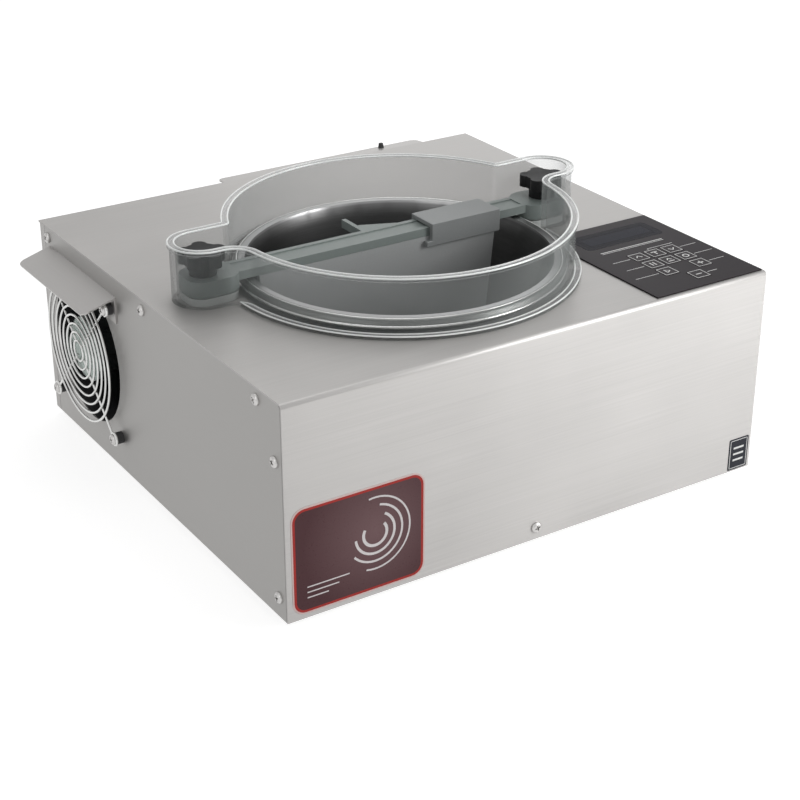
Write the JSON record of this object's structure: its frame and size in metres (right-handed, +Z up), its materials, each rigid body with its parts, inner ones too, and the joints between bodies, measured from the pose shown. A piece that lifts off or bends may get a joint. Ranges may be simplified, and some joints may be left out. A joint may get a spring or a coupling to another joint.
{
  "type": "chocolate tempering machine",
  "caption": "Countertop chocolate tempering machine: sheet steel case with a turning bowl, a fixed baffle on a bridge, clear skirt, keypad and side fan.",
  "frame": {"origin": "on the floor under the middle of the overall outline", "axes": "+X right along the front, +Y to the rear, +Z up"},
  "size_m": [0.429, 0.418, 0.209],
  "materials": {
    "case_steel": "brushed",
    "bowl_steel": "brushed",
    "screw_steel": "brushed",
    "guard_chrome": "polished",
    "fan_frame_black": "semi-gloss",
    "fan_black": "matt",
    "rubber_black": "matt",
    "overlay_film": "gloss",
    "key_film": "gloss",
    "window_dark": "gloss",
    "display_body": "matt",
    "board_green": "matt",
    "black_plastic": "matt",
    "spacer_metal": "satin",
    "turntable_alu": "satin",
    "shaft_steel": "brushed",
    "motor_paint": "semi-gloss",
    "bracket_zinc": "semi-gloss",
    "heater_alu": "satin",
    "post_grey": "matt",
    "bridge_grey": "matt",
    "clip_grey": "matt",
    "probe_steel": "brushed",
    "knob_black": "matt",
    "skirt_clear": "gloss",
    "supply_case": "satin"
  },
  "bodies": {
    "case": {"wrap_cover": "case_steel", "left_panel": "case_steel", "right_panel": "case_steel", "rear_panel": "case_steel", "base_pan": "case_steel", "fan_hood": "case_steel", "rear_hood": "case_steel", "foot_screws": "screw_steel", "left_panel_screws": "screw_steel", "right_panel_screws": "screw_steel", "front_screw": "screw_steel", "rear_panel_screws": "screw_steel", "rear_hood_screws": "screw_steel", "fan_screws": "screw_steel", "inlet_screws": "screw_steel", "bracket_screws": "screw_steel", "fan_guard": "guard_chrome", "fan_frame": "fan_frame_black", "feet": "rubber_black", "hood_bumper": "rubber_black", "control_overlay": "overlay_film", "display_window": "window_dark", "display_module": "display_body", "control_board": "board_green", "key_switches": "black_plastic", "switch_housing": "black_plastic", "power_inlet": "black_plastic", "fan_spacers": "black_plastic", "board_spacers": "spacer_metal", "supply_spacers": "spacer_metal", "heater_posts": "spacer_metal", "drive_motor": "motor_paint", "motor_bracket": "bracket_zinc", "heater": "heater_alu", "bridge_post_left": "post_grey", "bridge_post_right": "post_grey", "power_supply": "supply_case"},
    "bowl_drive": {"bowl": "bowl_steel", "turntable": "turntable_alu", "drive_shaft": "shaft_steel"},
    "fan": {"fan_rotor": "fan_black"},
    "skirt": {"skirt": "skirt_clear"},
    "bridge": {"bridge": "bridge_grey", "baffle_clip": "clip_grey", "baffle": "clip_grey", "temperature_probe": "probe_steel"},
    "knob_left": {"knob_left": "knob_black"},
    "knob_right": {"knob_right": "knob_black"},
    "rocker": {"switch_rocker": "black_plastic"},
    "key_1": {"key_1": "key_film"},
    "key_2": {"key_2": "key_film"},
    "key_3": {"key_3": "key_film"},
    "key_4": {"key_4": "key_film"},
    "key_5": {"key_5": "key_film"},
    "key_6": {"key_6": "key_film"},
    "key_7": {"key_7": "key_film"},
    "key_8": {"key_8": "key_film"},
    "key_9": {"key_9": "key_film"}
  },
  "joints": [
    {"name": "bowl_spin", "type": "hinge", "parent": "case", "child": "bowl_drive", "pos_m": [-0.00421, -0.0553, 0.12], "axis": [0, 0, 1], "continuous": true},
    {"name": "fan_spin", "type": "hinge", "parent": "case", "child": "fan", "pos_m": [-0.16871, 0.0957, 0.088], "axis": [1, 0, 0], "continuous": true},
    {"name": "skirt_lift", "type": "slide", "parent": "case", "child": "skirt", "axis": [0, 0, 1], "range_m": [0, 0.06]},
    {"name": "bridge_lift", "type": "slide", "parent": "case", "child": "bridge", "axis": [0, 0, 1], "range_m": [0, 0.1]},
    {"name": "knob_left_turn", "type": "hinge", "parent": "bridge", "child": "knob_left", "pos_m": [-0.14971, -0.0308, 0.195], "axis": [0, 0, 1], "continuous": true},
    {"name": "knob_right_turn", "type": "hinge", "parent": "bridge", "child": "knob_right", "pos_m": [0.14129, -0.0308, 0.195], "axis": [0, 0, 1], "continuous": true},
    {"name": "switch_rock", "type": "hinge", "parent": "case", "child": "rocker", "pos_m": [-0.06571, 0.1722, 0.046], "axis": [1, 0, 0], "range_deg": [-20, 0]},
    {"name": "key_1_press", "type": "slide", "parent": "case", "child": "key_1", "axis": [0, 0, -1], "range_m": [0, 0.0004], "stiffness_N_per_m": 1500},
    {"name": "key_2_press", "type": "slide", "parent": "case", "child": "key_2", "axis": [0, 0, -1], "range_m": [0, 0.0004], "stiffness_N_per_m": 1500},
    {"name": "key_3_press", "type": "slide", "parent": "case", "child": "key_3", "axis": [0, 0, -1], "range_m": [0, 0.0004], "stiffness_N_per_m": 1500},
    {"name": "key_4_press", "type": "slide", "parent": "case", "child": "key_4", "axis": [0, 0, -1], "range_m": [0, 0.0004], "stiffness_N_per_m": 1500},
    {"name": "key_5_press", "type": "slide", "parent": "case", "child": "key_5", "axis": [0, 0, -1], "range_m": [0, 0.0004], "stiffness_N_per_m": 1500},
    {"name": "key_6_press", "type": "slide", "parent": "case", "child": "key_6", "axis": [0, 0, -1], "range_m": [0, 0.0004], "stiffness_N_per_m": 1500},
    {"name": "key_7_press", "type": "slide", "parent": "case", "child": "key_7", "axis": [0, 0, -1], "range_m": [0, 0.0004], "stiffness_N_per_m": 1500},
    {"name": "key_8_press", "type": "slide", "parent": "case", "child": "key_8", "axis": [0, 0, -1], "range_m": [0, 0.0004], "stiffness_N_per_m": 1500},
    {"name": "key_9_press", "type": "slide", "parent": "case", "child": "key_9", "axis": [0, 0, -1], "range_m": [0, 0.0004], "stiffness_N_per_m": 1500}
  ]
}
